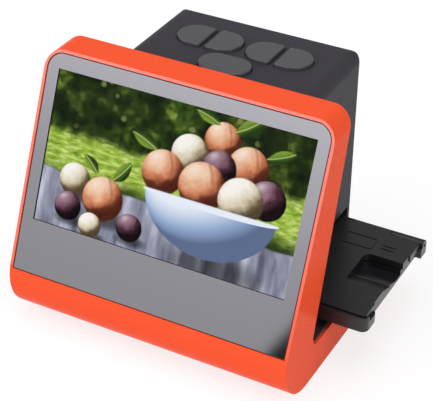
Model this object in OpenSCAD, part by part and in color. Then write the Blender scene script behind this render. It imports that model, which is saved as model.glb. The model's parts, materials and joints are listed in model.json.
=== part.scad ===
// Film negative scanner: a V-shaped stand with a tilted screen, an upright optics
// housing with five top buttons, and a flat film tray that slides through the housing.
// Bench frame used below: Y = 0 at the front of the nose, Z = 0 at the shell's underside.
// placed() moves it to the part's own frame: origin at bottom centre of the whole part.

/* [Screen] */
// Width of the lit picture area
screen_w = 110.7; // [100:0.1:118]
// Height of the lit picture area
screen_h = 62.2; // [56:0.1:66]
// Dark border beside the picture
border_side = 5.4; // [5:0.1:9]
// Dark border above the picture
border_top = 5.4; // [5:0.1:9]
// Dark border below the picture
border_bottom = 22.2; // [18:0.1:28]
// Thickness of the front glass
glass_t = 1.1; // [0.7:0.1:2]
// Gap round the edge of the front glass
glass_gap = 0.3; // [0.2:0.1:0.6]
// Depth of the front glass below the rim
glass_recess = 0.3; // [0.1:0.1:0.6]
// Thickness of the tape that holds the front glass
tape_t = 0.3; // [0.2:0.1:0.6]
// Width of the ledge that the front glass is taped to
ledge_w = 2; // [1.6:0.1:2.6]
// Thickness of the display module
lcd_t = 3; // [2:0.1:4]
// Metal border of the display module beside its picture
lcd_side = 2.75; // [1.5:0.05:3]
// Border of the display module that holds its driver, below its picture
lcd_foot = 6; // [4:0.5:9]
// Thickness of the bracket behind the display module
bracket_t = 1.7; // [1.5:0.1:2.2]

/* [Stand] */
// Lean of the screen from upright, in degrees
tilt = 22.9; // [20:0.1:26]
// Lean of the back of the screen arm from upright, in degrees
back_tilt = 16.2; // [13:0.1:18]
// Depth of the screen arm at its top
arm_t = 12.9; // [12.5:0.1:18]
// Radius of the rounded nose under the screen
nose_r = 19.5; // [18:0.1:21]
// Height of the bottom edge of the screen opening
sill_z = 24.75; // [24:0.05:28]
// Width of the rim round the screen opening
rim_w = 1.2; // [1:0.1:2.5]
// Radius of the upper outer corners of the screen arm
top_corner_r = 8; // [5:0.5:12]
// Thickness of the stand's base
base_h = 15; // [14:0.5:20]
// Depth of the stand from nose to rear
base_d = 104.5; // [103.5:0.5:115]
// Wall thickness of the stand's shell
shell_wall = 2.2; // [1.6:0.1:2.6]
// Radius of the inner corner between arm and base
corner_r = 4.5; // [1:0.5:5]
// Radius of the rear corners of the base
base_corner_r = 3; // [1:0.5:6]
// Thickness of the base cover
cover_t = 2; // [1.6:0.1:3]
// Width of the shell's rim round the base cover
cover_inset = 1.6; // [1.2:0.1:2.4]
// Width of the ledge that the base cover seats on
cover_ledge = 1.2; // [0.8:0.1:2]
// Gap round the base cover
cover_gap = 0.25; // [0.1:0.05:0.5]
// Radius of a rubber foot
foot_r = 5; // [3:0.5:7]
// Height of a rubber foot below the base
foot_proud = 1; // [0.5:0.1:2]
// Depth of a rubber foot's pocket in the base cover
foot_pocket = 0.8; // [0.4:0.1:1.2]

/* [Housing] */
// Width of the optics housing
body_w = 84; // [83:0.5:96]
// Height of the housing's top above the shell's underside
body_top = 101.4; // [98:0.1:103]
// Depth by which the base stands out behind the housing
rear_lip = 0.8; // [0.4:0.1:2]
// Thickness of the plate round the housing's foot
plate_t = 1; // [0.6:0.1:2]
// Distance from the stand's sides and rear to that plate
plate_inset = 1.2; // [0.6:0.1:3]
// Wall thickness of the housing
body_wall = 2.2; // [1.6:0.1:2.4]
// Radius of the housing's long top edges
body_edge_r = 6; // [4:0.5:8]
// Radius of the housing's rear upright edges
body_rear_r = 3; // [2.6:0.2:5]
// Gap between the housing and the back of the arm
body_gap = 0.2; // [0.1:0.05:0.5]

/* [Buttons] */
// Radius of the round end of a D-shaped button
key_r = 8; // [7:0.1:8.4]
// Length of the straight part of a D-shaped button
key_flat = 4.9; // [4:0.1:5.2]
// Gap between the two buttons of a pair
key_split = 2.4; // [2:0.1:3]
// Distance between the middles of the two pairs
pair_pitch = 30.8; // [30.6:0.1:33]
// Distance from the housing's rear to the middle of the D-shaped buttons
key_rear = 20.8; // [20:0.1:22]
// Length of the oval capture button
oval_w = 22; // [18:0.5:26]
// Depth of the oval capture button
oval_d = 14; // [12:0.5:14.5]
// Distance from the D-shaped buttons' middle to the capture button's middle
oval_step = 16.95; // [16.5:0.05:18]
// Height of the buttons above the housing
key_proud = 1.5; // [1:0.1:2.5]
// Travel of a button
key_travel = 1; // [0.5:0.1:1.2]
// Gap round a button in its hole
key_gap = 0.35; // [0.2:0.05:0.5]
// Width of the flange that keeps a button in
key_flange = 0.6; // [0.4:0.1:0.7]
// Thickness of the flange that keeps a button in
key_flange_t = 1; // [0.6:0.1:1.4]
// Length of the stem under a button
key_stem = 1.2; // [0.8:0.1:1.8]
// Thickness of the silicone key mat
mat_t = 0.8; // [0.6:0.1:1.2]
// Height of a dome on the key mat
dome_h = 0.6; // [0.4:0.1:1]

/* [Tray] */
// Length of the film tray between its end edges
tray_l = 155.6; // [150:0.1:168]
// Depth of the film tray, front to rear
tray_d = 62; // [60:0.5:62.4]
// Height of the film tray
tray_h = 7; // [6.4:0.1:8]
// Distance from the housing's rear to the tray's rear edge
tray_rear = 7.15; // [6.8:0.05:8]
// Distance from the tray's rear edge to the middle of the film
film_back = 33.05; // [32:0.05:34]
// Height of the tray's lower frame
tray_split = 3.9; // [3.4:0.1:4.2]
// Gap between the tray's lower frame and its cover
tray_seam = 0.1; // [0.05:0.05:0.3]
// Running gap round the tray in its channel
tray_gap = 0.4; // [0.3:0.05:0.6]
// Width of the film strip's track
track_w = 35.6; // [35.2:0.1:36.4]
// Depth of the film strip's track
track_t = 0.5; // [0.3:0.1:0.8]
// Width of the film window along the strip
window_w = 37; // [36:0.5:39]
// Height of the film window across the strip
window_d = 25; // [24:0.5:26]
// Length of the tray's end lugs and ears beyond its end edges
lug_l = 1.2; // [0.8:0.1:3]
// Distance by which the tray's lower frame lies back under the ends of its cover
frame_back = 1.3; // [1:0.1:3.5]
// Radius of the tray's hinge knuckles
knuckle_r = 2.2; // [1.8:0.1:2.4]
// Radius of the tray's hinge pin
pin_r = 0.8; // [0.6:0.1:1]
// Running gap round the tray's hinge pin
pin_gap = 0.05; // [0.02:0.01:0.1]
// Distance from the tray's end edges to the joints of its hinge
end_knuckle = 13.4; // [8:0.1:14]
// Length of the thumb recess at each end of the tray
thumb_l = 16.8; // [13:0.1:20]
// Width of the thumb recess, front to rear
thumb_d = 21; // [18:0.5:24]
// Depth of the thumb recess at its rear wall
thumb_h = 5.7; // [5:0.1:5.8]
// Plan radius of the tray's corners
tray_corner_r = 3; // [1.5:0.5:4]

/* [Film channel] */
// Gap between the channel's ends and the housing's screw bosses
channel_gap = 0.7; // [0.3:0.1:2]
// Height of the channel's legs
leg_h = 3.5; // [3.2:0.1:5]
// Thickness of the channel's floor
floor_t = 2.1; // [1.6:0.1:3]
// Thickness of the channel's side walls
channel_wall = 2.8; // [2.4:0.1:3]
// Thickness of the channel's cover
lid_t = 2; // [1.6:0.1:3]
// Height of the slot in the housing above the tray
slot_head = 2.2; // [1:0.1:3]
// Length of the slot in the housing behind the tray
slot_tail = 2.65; // [2:0.05:3]

/* [Optics] */
// Outer length of the backlight box
box_w = 48; // [46:0.5:50]
// Outer depth of the backlight box
box_d = 38; // [36:0.5:40]
// Wall thickness of the backlight box
box_wall = 1.6; // [1:0.1:2.4]
// Thickness of the diffuser
diffuser_t = 2; // [1.5:0.1:2.5]
// Height of the optics tower
tower_h = 25.5; // [22:0.5:28]
// Outer length of the optics tower
tower_w = 44; // [42:0.5:46]
// Outer depth of the optics tower
tower_d = 34; // [32:0.5:36]
// Wall thickness of the optics tower
tower_wall = 2; // [1.5:0.1:2.5]
// Radius of the lens barrel
barrel_r = 8; // [7:0.5:9]
// Radius of the lens
lens_r = 6.3; // [5:0.1:6.4]
// Gap round the lens and the barrel in their bores
optic_gap = 0.06; // [0.03:0.01:0.1]
// Height of the posts that carry the sensor board
post_h = 8; // [7:0.5:9]

/* [Boards] */
// Thickness of the circuit boards
pcb_t = 1.6; // [1:0.1:2]
// Distance from the housing's top to the main board's top
board_drop = 25.8; // [24:0.1:28]
// Gap between the main board and the housing's side walls
board_gap = 1.3; // [0.8:0.1:2]
// Distance from the housing's rear to the main board's rear edge
board_rear = 4.2; // [3:0.1:5]
// Depth of the main board, front to rear
board_d = 55; // [52:0.5:57]
// Gap round a socket in the rear wall
port_gap = 0.3; // [0.2:0.05:0.6]
// Depth of the sockets' mouths below the rear wall's face
port_recess = 0.5; // [0.2:0.1:1]

/* [Fasteners] */
// Shank radius of a housing screw
screw_r = 1.1; // [0.9:0.1:1.3]
// Head radius of a housing screw
head_r = 2.3; // [1.8:0.1:2.6]
// Head height of a housing screw
head_h = 1.2; // [0.8:0.1:1.4]
// Radius of a housing screw boss
boss_r = 3; // [2.6:0.1:3.1]
// Shank radius of a small screw
fine_r = 0.7; // [0.5:0.1:0.9]
// Head radius of a small screw
fine_head_r = 1.35; // [1:0.05:1.4]
// Head height of a small screw
fine_head_h = 0.9; // [0.6:0.1:1.2]
// Gap between a screw and its hole
screw_gap = 0.05; // [0.03:0.01:0.1]

/* [Hidden] */

$fn = 48;
eps = 0.01;
reach = 200;

// Screen opening and outer size of the stand
opening_w = screen_w + 2 * border_side;
opening_h = border_bottom + screen_h + border_top;
frame_w = opening_w + 2 * rim_w;
arm_top_v = opening_h + rim_w;
opening_r = top_corner_r - rim_w;
glass_w = opening_w - 2 * glass_gap;
glass_h = opening_h - 2 * glass_gap;

// Side profile: w is depth behind the screen's face, v is distance up the screen
nose_crease = 3;
sill_y = nose_r - (nose_r * cos(nose_crease) + (nose_r - sill_z) * sin(tilt)) / cos(tilt);
nose_v = (nose_r - sill_y) * sin(tilt) + (nose_r - sill_z) * cos(tilt);
function on_side(w, v) = [
  sill_y + v * sin(tilt) + w * cos(tilt),
  sill_z + v * cos(tilt) - w * sin(tilt)
];
function v_at(w, z) = (z - sill_z + w * sin(tilt)) / cos(tilt);
back_top = on_side(arm_t, arm_top_v);
arm_top_z = on_side(0, arm_top_v)[1];
function back_y(z) = back_top[0] - (back_top[1] - z) * tan(back_tilt);
fillet_y = back_y(base_h) + corner_r * (1 + sin(back_tilt)) / cos(back_tilt);
nose_centre = [nose_r, nose_r];
nose_start = on_side(0, nose_v);
nose_end = on_side(0, nose_v + nose_r * tan(2 * nose_crease));

// Layers behind the glass
glass_back_w = glass_recess + glass_t;
ledge_face_w = glass_back_w + tape_t;
lcd_back_w = glass_back_w + lcd_t;
bracket_back_w = lcd_back_w + bracket_t;
cavity_w = opening_w - 2 * ledge_w;
cavity_v0 = ledge_w;
cavity_v1 = opening_h - ledge_w;
cavity_z1 = on_side(ledge_face_w, cavity_v1)[1];
lcd_w = screen_w + 2 * lcd_side;
lcd_head = 1.6;
lcd_h = lcd_foot + screen_h + lcd_head;
lcd_v0 = border_bottom - lcd_foot;
tape_inset = 0.35;
tape_w = ledge_w - glass_gap - 2 * 0.1;
bracket_margin = 0.4;
bracket_w = cavity_w - 2 * bracket_margin;
bracket_foot = 5;
bracket_v0 = lcd_v0 - bracket_foot;
bracket_v1 = cavity_v1 - bracket_margin;
bracket_rail = 14;
lcd_boss_r = 2.4;
lcd_boss_inset = 4.2;
lcd_screw_l = 5;
lcd_head_sink = fine_head_h + 0.1;
lcd_boss_u = bracket_w / 2 - lcd_boss_inset;
lcd_boss_v = [bracket_v0 + lcd_boss_inset, bracket_v1 - lcd_boss_inset];

// Base
base_inner_z = base_h - shell_wall;
base_inner_w = frame_w - 2 * (cover_inset + cover_ledge);
base_rear_inner = base_d - cover_inset - cover_ledge;
cover_w = frame_w - 2 * cover_inset;
cover_d = base_d - cover_inset - nose_r;
cover_boss_x = frame_w / 2 - 10;
cover_boss_y = [nose_r + 7, base_d - 9];
foot_x = frame_w / 2 - 12;
foot_y = [nose_r + 17, base_d - 19];
foot_edge = 0.3;
fillet_gap = 0.3;
cable_slot_w = 24;
cable_slot_h = 7;
cable_w = 18;
cable_t = 0.3;
cable_v0 = lcd_v0 + 12;
cable_reach = 8;

// Housing
body_rear = base_d - rear_lip;
body_gap_y = body_gap / cos(back_tilt);
body_inner_top = body_top - body_wall;
body_inner_rear = body_rear - body_wall;
body_inner_half = body_w / 2 - body_wall;
body_boss_x = body_inner_half - boss_r + 0.4;
body_boss_h = 4.6;
body_boss_y = [back_y(base_h + body_boss_h) + boss_r + 0.6, body_inner_rear - boss_r - 1];
body_screw_l = 6;

// Tray
tray_z0 = base_h + leg_h + floor_t + tray_gap;
tray_z1 = tray_z0 + tray_h;
tray_y1 = body_rear - tray_rear;
tray_y0 = tray_y1 - tray_d;
tray_y = (tray_y0 + tray_y1) / 2;
film_y = tray_y1 - film_back;
tray_split_z = tray_z0 + tray_split;
tray_cover_z = tray_split_z + tray_seam;
knuckle_y = tray_y1 - knuckle_r;
knuckle_z = tray_z1 - knuckle_r;
knuckle_clear = 0.2;
knuckle_x = tray_l / 2 - end_knuckle;
rail_t = 1.2;
rail_drop = 0.7;
rail_gap = 0.2;
mouth_w = track_w + 0.4;
mouth_cover = 0.5;
mouth_y0 = film_y - mouth_w / 2;
mouth_y1 = film_y + mouth_w / 2;
ear_d = mouth_y0 - tray_y0;
thumb_rear = film_y + 11.5;
lug_y0 = tray_y1 - 5.5;
lug_drop = 2.5;
tray_full_l = tray_l + 2 * lug_l;

// Channel round the tray
channel_half = body_boss_x - boss_r - channel_gap;
lid_z = tray_z1 + tray_gap;
lid_top = lid_z + lid_t;
channel_y0 = tray_y0 - tray_gap - channel_wall;
channel_y1 = tray_y1 + tray_gap + channel_wall;
channel_mid = (channel_y0 + channel_y1) / 2;
channel_screw_x = channel_half - 4;
gate_w = window_w + 2;
gate_d = window_d + 2;
lid_screw_l = 6;
slot_foot = tray_gap + 0.2;
slot_nose = 1.2;

// Backlight
led_board_w = box_w + 2;
led_board_d = box_d + 2;
light_z0 = cover_t + pcb_t;
light_z1 = base_h + leg_h - diffuser_t;
light_clear = 1;
led_rows = 3;
led_cols = 3;
led_pitch = [12, 9];
led_size = [3.5, 2.8, 0.9];

// Camera
tower_foot_w = tower_w + 12;
tower_foot_d = tower_d + 10;
tower_foot_t = 2;
tower_screw = [tower_foot_w / 2 - 3, tower_foot_d / 2 - 3];
tower_z1 = lid_top + tower_h;
tower_top_t = 2;
post_x = 14;
post_r = 2.2;
sensor_z = tower_z1 + post_h;
barrel_flange_r = barrel_r + 1.5;
barrel_flange_t = 1.2;
barrel_drop = 8;
lens_ball_r = 14;
lens_t = 4;
sensor_size = [12, 10, 1];
sensor_board_w = 36;
sensor_screw_l = 4;

// Main board and its sockets
board_w = 2 * (body_inner_half - board_gap);
board_z1 = body_top - board_drop;
board_z0 = board_z1 - pcb_t;
board_y1 = body_rear - board_rear;
board_y0 = board_y1 - board_d;
board_boss_r = 2.5;
board_boss_x = board_w / 2 - 3;
board_boss_y = [board_y0 + 6, board_y1 - 5];
board_screw_l = 6;
port_mouth = body_rear - port_recess;
usb_size = [9, 7.5, 3.2];
video_size = [11.2, 7.5, 3.4];
card_size = [26, 24, 2.6];
usb_x = -24;
video_x = -8;
card_x = 18;
socket_wall = 0.4;
socket_back = 1;
usb_tongue = [6.6, 6, 0.7];
video_tongue = [8.4, 6, 0.8];
card_tongue = [22, 22.5, 0.5];
processor = [14, 14, 1.2];
memory = [12, 9, 1];
inductor = [7, 7, 3];
cable_socket = [20, 3, 1.4];
processor_y = board_y0 + 26;
inductor_y = board_y0 + 12;
cable_socket_y = board_y0 + cable_reach + cable_socket[1] / 2;
memory_x = -20;
inductor_x = -22;

// Keys
key_y = body_rear - key_rear;
oval_y = key_y - oval_step;
key_corner = 1;
key_width = key_r + key_flat;
key_x = [
  -pair_pitch / 2 - key_split / 2 - key_flat,
  -pair_pitch / 2 + key_split / 2 + key_flat,
  pair_pitch / 2 - key_split / 2 - key_flat,
  pair_pitch / 2 + key_split / 2 + key_flat
];
key_side = [-1, 1, -1, 1];
key_stop = 0.3;
key_flange_z = body_inner_top - key_stop - key_flange_t;
key_stem_z = key_flange_z - key_stem;
mat_top = key_stem_z - key_travel - 0.1;
mat_z = mat_top - dome_h - mat_t;
key_board_z = mat_z - pcb_t;
key_board_w = 65;
key_board_y = [oval_y - oval_d / 2 - 3.5, body_inner_rear - 3];
key_boss = [key_board_w / 2 - 3, 3];
key_boss_y = [key_board_y[0] + 3, key_board_y[1] - 3];
key_boss_r = 2.2;
dome_r = 3;
switch_r = 2;
switch_h = 0.5;
key_spots = [
  [key_x[0], key_y], [key_x[1], key_y], [key_x[2], key_y], [key_x[3], key_y], [0, oval_y]
];
stem_r = 1.5;
key_screw_l = 3;

// ---------- helpers ----------

module placed() {
  translate([0, -base_d / 2, foot_proud]) children();
}

// A side profile (Y across, Z up) drawn out along X
module across(width) {
  rotate([90, 0, 90]) translate([0, 0, -width / 2]) linear_extrude(width) children();
}

// Screen frame: X across, Y depth behind the face, Z up the screen
module on_panel() {
  translate([0, sill_y, sill_z]) rotate([-tilt, 0, 0]) children();
}

// A front outline (X across, Y up) drawn out between two depths
module slab(near, far) {
  translate([0, far, 0]) rotate([90, 0, 0]) linear_extrude(far - near) children();
}

module round_rect(w, h, r) {
  square([w - 2 * r, h], center = true);
  square([w, h - 2 * r], center = true);
  for (x = [-1, 1], y = [-1, 1]) translate([x * (w / 2 - r), y * (h / 2 - r)]) circle(r = r);
}

// Outline with square lower corners at height 0 and round upper corners
module tombstone(w, h, r, down = 0) {
  translate([-w / 2, -down]) square([w, h + down - r]);
  translate([-w / 2 + r, 0]) square([w - 2 * r, h]);
  for (x = [-1, 1]) translate([x * (w / 2 - r), h - r]) circle(r = r);
}

module block(w, d, z0, z1, r = 0) {
  translate([0, 0, z0]) linear_extrude(z1 - z0)
    if (r > 0) round_rect(w, d, r); else square([w, d], center = true);
}

module rod(r, z0, z1) {
  translate([0, 0, z0]) cylinder(r = r, h = z1 - z0);
}

// Screw with its head above z and its shank below
module screw(r, l, hr, hh) {
  rod(r, -l, eps);
  difference() {
    rod(hr, 0, hh);
    rod(hr * 0.45, hh * 0.5, hh + eps, $fn = 6);
  }
}

module at_pairs(x, ys) {
  for (sx = [-1, 1], y = ys) translate([sx * x, y, 0]) children();
}

// ---------- stand ----------

// Side profile of the whole stand: arm, nose and base
module stand_profile() {
  polygon([
    nose_start, on_side(0, arm_top_v), [back_y(arm_top_z), arm_top_z], [back_y(base_h), base_h],
    [base_d, base_h], [base_d, 0], [nose_r, 0], nose_centre
  ]);
  intersection() {
    translate(nose_centre) circle(r = nose_r);
    polygon([
      nose_centre, 2 * nose_end - nose_centre, [-nose_r, -nose_r], [nose_r, -nose_r]
    ]);
  }
}

module corner_fillet() {
  cz = base_h + corner_r;
  difference() {
    polygon([
      [back_y(base_h) - 1, base_h - 1], [fillet_y, base_h - 1], [fillet_y, cz],
      [fillet_y - corner_r * cos(back_tilt), cz + corner_r * sin(back_tilt)]
    ]);
    translate([fillet_y, cz]) circle(r = corner_r);
  }
}

module stand_outer() {
  intersection() {
    union() {
      across(frame_w) stand_profile();
      // fillet beside the housing
      difference() {
        across(frame_w) corner_fillet();
        across(body_w + 2 * fillet_gap) square([base_d, base_h + 2 * corner_r]);
      }
    }
    // round upper corners of the arm
    slab(-reach, reach) tombstone(frame_w, arm_top_z, top_corner_r);
    // round rear corners of the base
    translate([0, 0, -1]) linear_extrude(reach)
      translate([0, base_d - reach / 2]) round_rect(frame_w, reach, base_corner_r);
  }
}

module stand_cavities() {
  // glass pocket
  on_panel() slab(-1, ledge_face_w) tombstone(opening_w, opening_h, opening_r);
  // space behind the display
  across(cavity_w) polygon([
    on_side(ledge_face_w - eps, cavity_v0), on_side(ledge_face_w - eps, cavity_v1),
    [back_y(cavity_z1) - shell_wall / cos(back_tilt), cavity_z1],
    [back_y(base_inner_z) - shell_wall / cos(back_tilt), base_inner_z - eps],
    [nose_r / 2, base_inner_z - eps]
  ]);
  // space in the base
  across(base_inner_w) intersection() {
    union() {
      translate([nose_r, 0]) square([base_rear_inner - nose_r, base_inner_z]);
      translate(nose_centre) circle(r = nose_r - shell_wall);
    }
    translate([0, cover_t - eps]) square([base_rear_inner, base_inner_z - cover_t + eps]);
  }
  // seat of the base cover
  translate([0, nose_r + cover_d / 2, 0]) block(cover_w, cover_d, -1, cover_t);
}

module frame_shell() color("tomato") placed() {
  difference() {
    union() {
      difference() {
        stand_outer();
        stand_cavities();
      }
      // display bracket bosses
      intersection() {
        on_panel() for (v = lcd_boss_v, s = [-1, 1])
          translate([s * lcd_boss_u, bracket_back_w, v]) rotate([-90, 0, 0])
            cylinder(r = lcd_boss_r, h = reach / 4);
        across(frame_w) stand_profile();
      }
      // base cover bosses
      at_pairs(cover_boss_x, cover_boss_y) rod(boss_r, cover_t, base_h - 1);
    }
    on_panel() for (v = lcd_boss_v, s = [-1, 1])
      translate([s * lcd_boss_u, bracket_back_w - eps, v]) rotate([-90, 0, 0])
        cylinder(r = fine_r + screw_gap, h = lcd_screw_l);
    at_pairs(cover_boss_x, cover_boss_y)
      rod(screw_r + screw_gap, cover_t - eps, base_h - shell_wall - 1);
    // holes for the housing screws
    at_pairs(body_boss_x, body_boss_y) rod(screw_r + screw_gap, base_inner_z - 1, base_h + 1);
    // way for the backlight
    translate([0, film_y, 0])
      block(box_w + 2 * light_clear, box_d + 2 * light_clear, base_inner_z - 1, base_h + 1);
    // way for the display cable
    translate([-cable_slot_w / 2, 0, board_z1 - cable_slot_h / 2])
      cube([cable_slot_w, reach, cable_slot_h]);
  }
}

module base_cover() color("dimgray") placed() difference() {
  translate([0, nose_r + cover_d / 2, 0])
    block(cover_w - 2 * cover_gap, cover_d - 2 * cover_gap, 0, cover_t, 1.5);
  at_pairs(cover_boss_x, cover_boss_y) {
    rod(screw_r + screw_gap, -1, cover_t + 1);
    rod(head_r + 0.2, -1, head_h);
  }
  at_pairs(foot_x, foot_y) rod(foot_r + 0.1, -1, foot_pocket);
}

module rubber_feet() color("black") placed() at_pairs(foot_x, foot_y) {
  rod(foot_r, foot_edge - foot_proud, foot_pocket);
  translate([0, 0, -foot_proud]) cylinder(r1 = foot_r - foot_edge, r2 = foot_r, h = foot_edge);
}

module base_screws() color("silver") placed() at_pairs(cover_boss_x, cover_boss_y)
  translate([0, 0, head_h]) rotate([180, 0, 0])
    screw(screw_r, cover_t - head_h + body_screw_l, head_r, head_h - 0.2);

// ---------- display ----------

module front_glass() color([0.1, 0.1, 0.12]) placed() on_panel()
  translate([0, 0, glass_gap]) slab(glass_recess, glass_back_w)
    tombstone(glass_w, glass_h, opening_r - glass_gap);

module glass_tape() color("black") placed() on_panel() slab(glass_back_w, ledge_face_w)
  difference() {
    translate([0, tape_inset])
      tombstone(opening_w - 2 * tape_inset, opening_h - 2 * tape_inset, opening_r - tape_inset);
    translate([0, tape_inset + tape_w])
      tombstone(
        opening_w - 2 * (tape_inset + tape_w), opening_h - 2 * (tape_inset + tape_w),
        opening_r - tape_inset - tape_w
      );
  }

module lcd_module() color("lightsteelblue") placed() on_panel()
  translate([0, 0, lcd_v0]) slab(glass_back_w, lcd_back_w)
    translate([0, lcd_h / 2]) round_rect(lcd_w, lcd_h, 0.8);

module lcd_bracket() color("silver") placed() on_panel() difference() {
  slab(lcd_back_w, bracket_back_w) difference() {
    translate([0, (bracket_v0 + bracket_v1) / 2])
      round_rect(bracket_w, bracket_v1 - bracket_v0, 3);
    translate([0, (bracket_v0 + bracket_v1) / 2])
      round_rect(bracket_w - 2 * bracket_rail, bracket_v1 - bracket_v0 - 2 * bracket_rail, 3);
  }
  for (v = lcd_boss_v, s = [-1, 1]) translate([s * lcd_boss_u, lcd_back_w, v])
    rotate([-90, 0, 0]) {
      rod(fine_r + screw_gap, -1, bracket_t + 1);
      rod(fine_head_r + 0.2, -1, lcd_head_sink);
    }
}

module lcd_screws() color("gray") placed() on_panel() for (v = lcd_boss_v, s = [-1, 1])
  translate([s * lcd_boss_u, lcd_back_w + lcd_head_sink, v]) rotate([90, 0, 0])
    screw(fine_r, lcd_screw_l, fine_head_r, fine_head_h);

// Flat cable: up the back of the display, then level through the arm to the main board
module display_cable() color("chocolate") placed() {
  outer_w = lcd_back_w + cable_t;
  cable_end = board_y0 + cable_reach;
  across(cable_w) polygon([
    on_side(lcd_back_w, cable_v0), on_side(lcd_back_w, v_at(lcd_back_w, board_z1 + cable_t)),
    [cable_end, board_z1 + cable_t], [cable_end, board_z1],
    on_side(outer_w, v_at(outer_w, board_z1)), on_side(outer_w, cable_v0)
  ]);
}

// ---------- housing ----------

// The housing's outer form, or with an inset the space inside it
module housing_form(inset, front_shift) {
  top = body_top - inset;
  rear = body_rear - inset;
  foot = base_h - (inset > 0 ? 1 : 0);
  rear_edge = 1.5;
  intersection() {
    across(body_w) {
      polygon([
        [back_y(foot) + body_gap_y - front_shift, foot],
        [back_y(top) + body_gap_y - front_shift, top],
        [rear - rear_edge, top], [rear, top - rear_edge], [rear, foot]
      ]);
      translate([rear - rear_edge, top - rear_edge]) circle(r = rear_edge);
    }
    slab(-reach / 2, reach)
      translate([0, foot]) tombstone(body_w - 2 * inset, top - foot, body_edge_r - inset);
    translate([0, 0, -1]) linear_extrude(reach)
      translate([0, rear - reach / 2]) round_rect(
        body_w - 2 * inset, reach, max(body_rear_r - inset, 0.4)
      );
  }
}

module key_outline(i, grow = 0) {
  r = key_r + grow;
  x0 = -key_corner;
  x1 = key_flat + grow;
  translate([key_x[i], key_y]) mirror([key_side[i] > 0 ? 1 : 0, 0]) {
    intersection() {
      circle(r = r);
      translate([-r, -r]) square([r + eps, 2 * r]);
    }
    translate([(x0 + x1) / 2, 0]) round_rect(x1 - x0, 2 * r, key_corner);
  }
}

module oval_outline(grow = 0) {
  translate([0, oval_y]) round_rect(oval_w + 2 * grow, oval_d + 2 * grow, oval_d / 2 + grow - eps);
}

// Plate round the housing's foot, on the base between the arm's fillet and the rear edge
module foot_plate() {
  intersection() {
    translate([0, base_d - plate_inset - reach / 2, 0])
      block(frame_w - 2 * plate_inset, reach, base_h, base_h + plate_t, base_corner_r - plate_inset);
    translate([-reach / 2, fillet_y + fillet_gap, 0]) cube(reach);
  }
}

module body_shell() color("dimgray") placed() difference() {
  union() {
    difference() {
      union() {
        housing_form(0, 0);
        foot_plate();
      }
      housing_form(body_wall, 8);
    }
    // screw bosses at the foot
    intersection() {
      at_pairs(body_boss_x, body_boss_y) rod(boss_r, base_h, base_h + body_boss_h);
      housing_form(0, 0);
    }
    // bosses for the main board and the key board
    at_pairs(board_boss_x, board_boss_y) rod(board_boss_r, board_z1, body_inner_top + 1);
    at_pairs(key_boss[0], key_boss_y) rod(key_boss_r, key_board_z + pcb_t, body_inner_top + 1);
  }
  at_pairs(body_boss_x, body_boss_y)
    rod(screw_r + screw_gap, base_h - 1, base_h + body_boss_h - 0.4);
  at_pairs(board_boss_x, board_boss_y)
    rod(fine_r + screw_gap, board_z1 - 1, board_z1 + board_screw_l);
  at_pairs(key_boss[0], key_boss_y)
    rod(fine_r + screw_gap, key_board_z, key_board_z + pcb_t + 3.5);
  // button holes
  for (i = [0:3]) translate([0, 0, body_inner_top - 1])
    linear_extrude(body_wall + 2) key_outline(i, key_gap);
  translate([0, 0, body_inner_top - 1]) linear_extrude(body_wall + 2) oval_outline(key_gap);
  // slot for the tray, through both sides
  translate([-body_w, tray_y0 - slot_nose, tray_z0 - slot_foot])
    cube([2 * body_w, tray_d + slot_nose + slot_tail, tray_h + slot_foot + slot_head]);
  // socket openings
  port_hole(usb_x, usb_size);
  port_hole(video_x, video_size);
  port_hole(card_x, card_size);
}

module port_hole(x, size) {
  translate([x - size[0] / 2 - port_gap, body_inner_rear - 1, board_z1 - port_gap])
    cube([size[0] + 2 * port_gap, body_wall + 2, size[2] + 2 * port_gap]);
}

module body_screws() color("silver") placed() at_pairs(body_boss_x, body_boss_y)
  translate([0, 0, base_inner_z]) rotate([180, 0, 0])
    screw(screw_r, body_screw_l, head_r, head_h);

// ---------- film channel ----------

module gate_hole(z0, z1) {
  translate([0, film_y, 0]) block(gate_w, gate_d, z0, z1);
}

module tray_channel() color("darkslategray") placed() difference() {
  translate([0, channel_mid, 0])
    block(2 * channel_half, channel_y1 - channel_y0, base_h, lid_z);
  // space under the floor
  translate([0, channel_mid, 0]) block(
    2 * (channel_half - channel_wall), channel_y1 - channel_y0 - 2 * channel_wall,
    base_h - 1, base_h + leg_h
  );
  // tray way
  translate([-reach / 2, tray_y0 - tray_gap, tray_z0 - tray_gap])
    cube([reach, tray_d + 2 * tray_gap, tray_h + 2 * tray_gap + 1]);
  gate_hole(base_h, lid_z);
  at_pairs(channel_screw_x, [channel_y0 + channel_wall / 2, channel_y1 - channel_wall / 2])
    rod(fine_r + screw_gap, lid_z - lid_screw_l, lid_z + 1);
}

module channel_cover() color("darkslategray") placed() difference() {
  translate([0, channel_mid, 0])
    block(2 * channel_half, channel_y1 - channel_y0, lid_z, lid_top);
  gate_hole(lid_z - 1, lid_top + 1);
  at_pairs(channel_screw_x, [channel_y0 + channel_wall / 2, channel_y1 - channel_wall / 2])
    rod(fine_r + screw_gap, lid_z - 1, lid_top + 1);
  at_pairs(tower_screw[0], [film_y - tower_screw[1], film_y + tower_screw[1]])
    rod(fine_r + screw_gap, lid_z - 1, lid_top + 1);
}

module channel_screws() color("silver") placed()
  at_pairs(channel_screw_x, [channel_y0 + channel_wall / 2, channel_y1 - channel_wall / 2])
    translate([0, 0, lid_top]) screw(fine_r, lid_screw_l, fine_head_r, fine_head_h);

// ---------- backlight ----------

module light_box() color("white") placed() translate([0, film_y, 0]) difference() {
  block(box_w, box_d, light_z0, light_z1);
  block(box_w - 2 * box_wall, box_d - 2 * box_wall, light_z0 - 1, light_z1 + 1);
}

module diffuser() color("whitesmoke") placed() translate([0, film_y, 0])
  block(box_w, box_d, light_z1, light_z1 + diffuser_t, 1);

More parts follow.
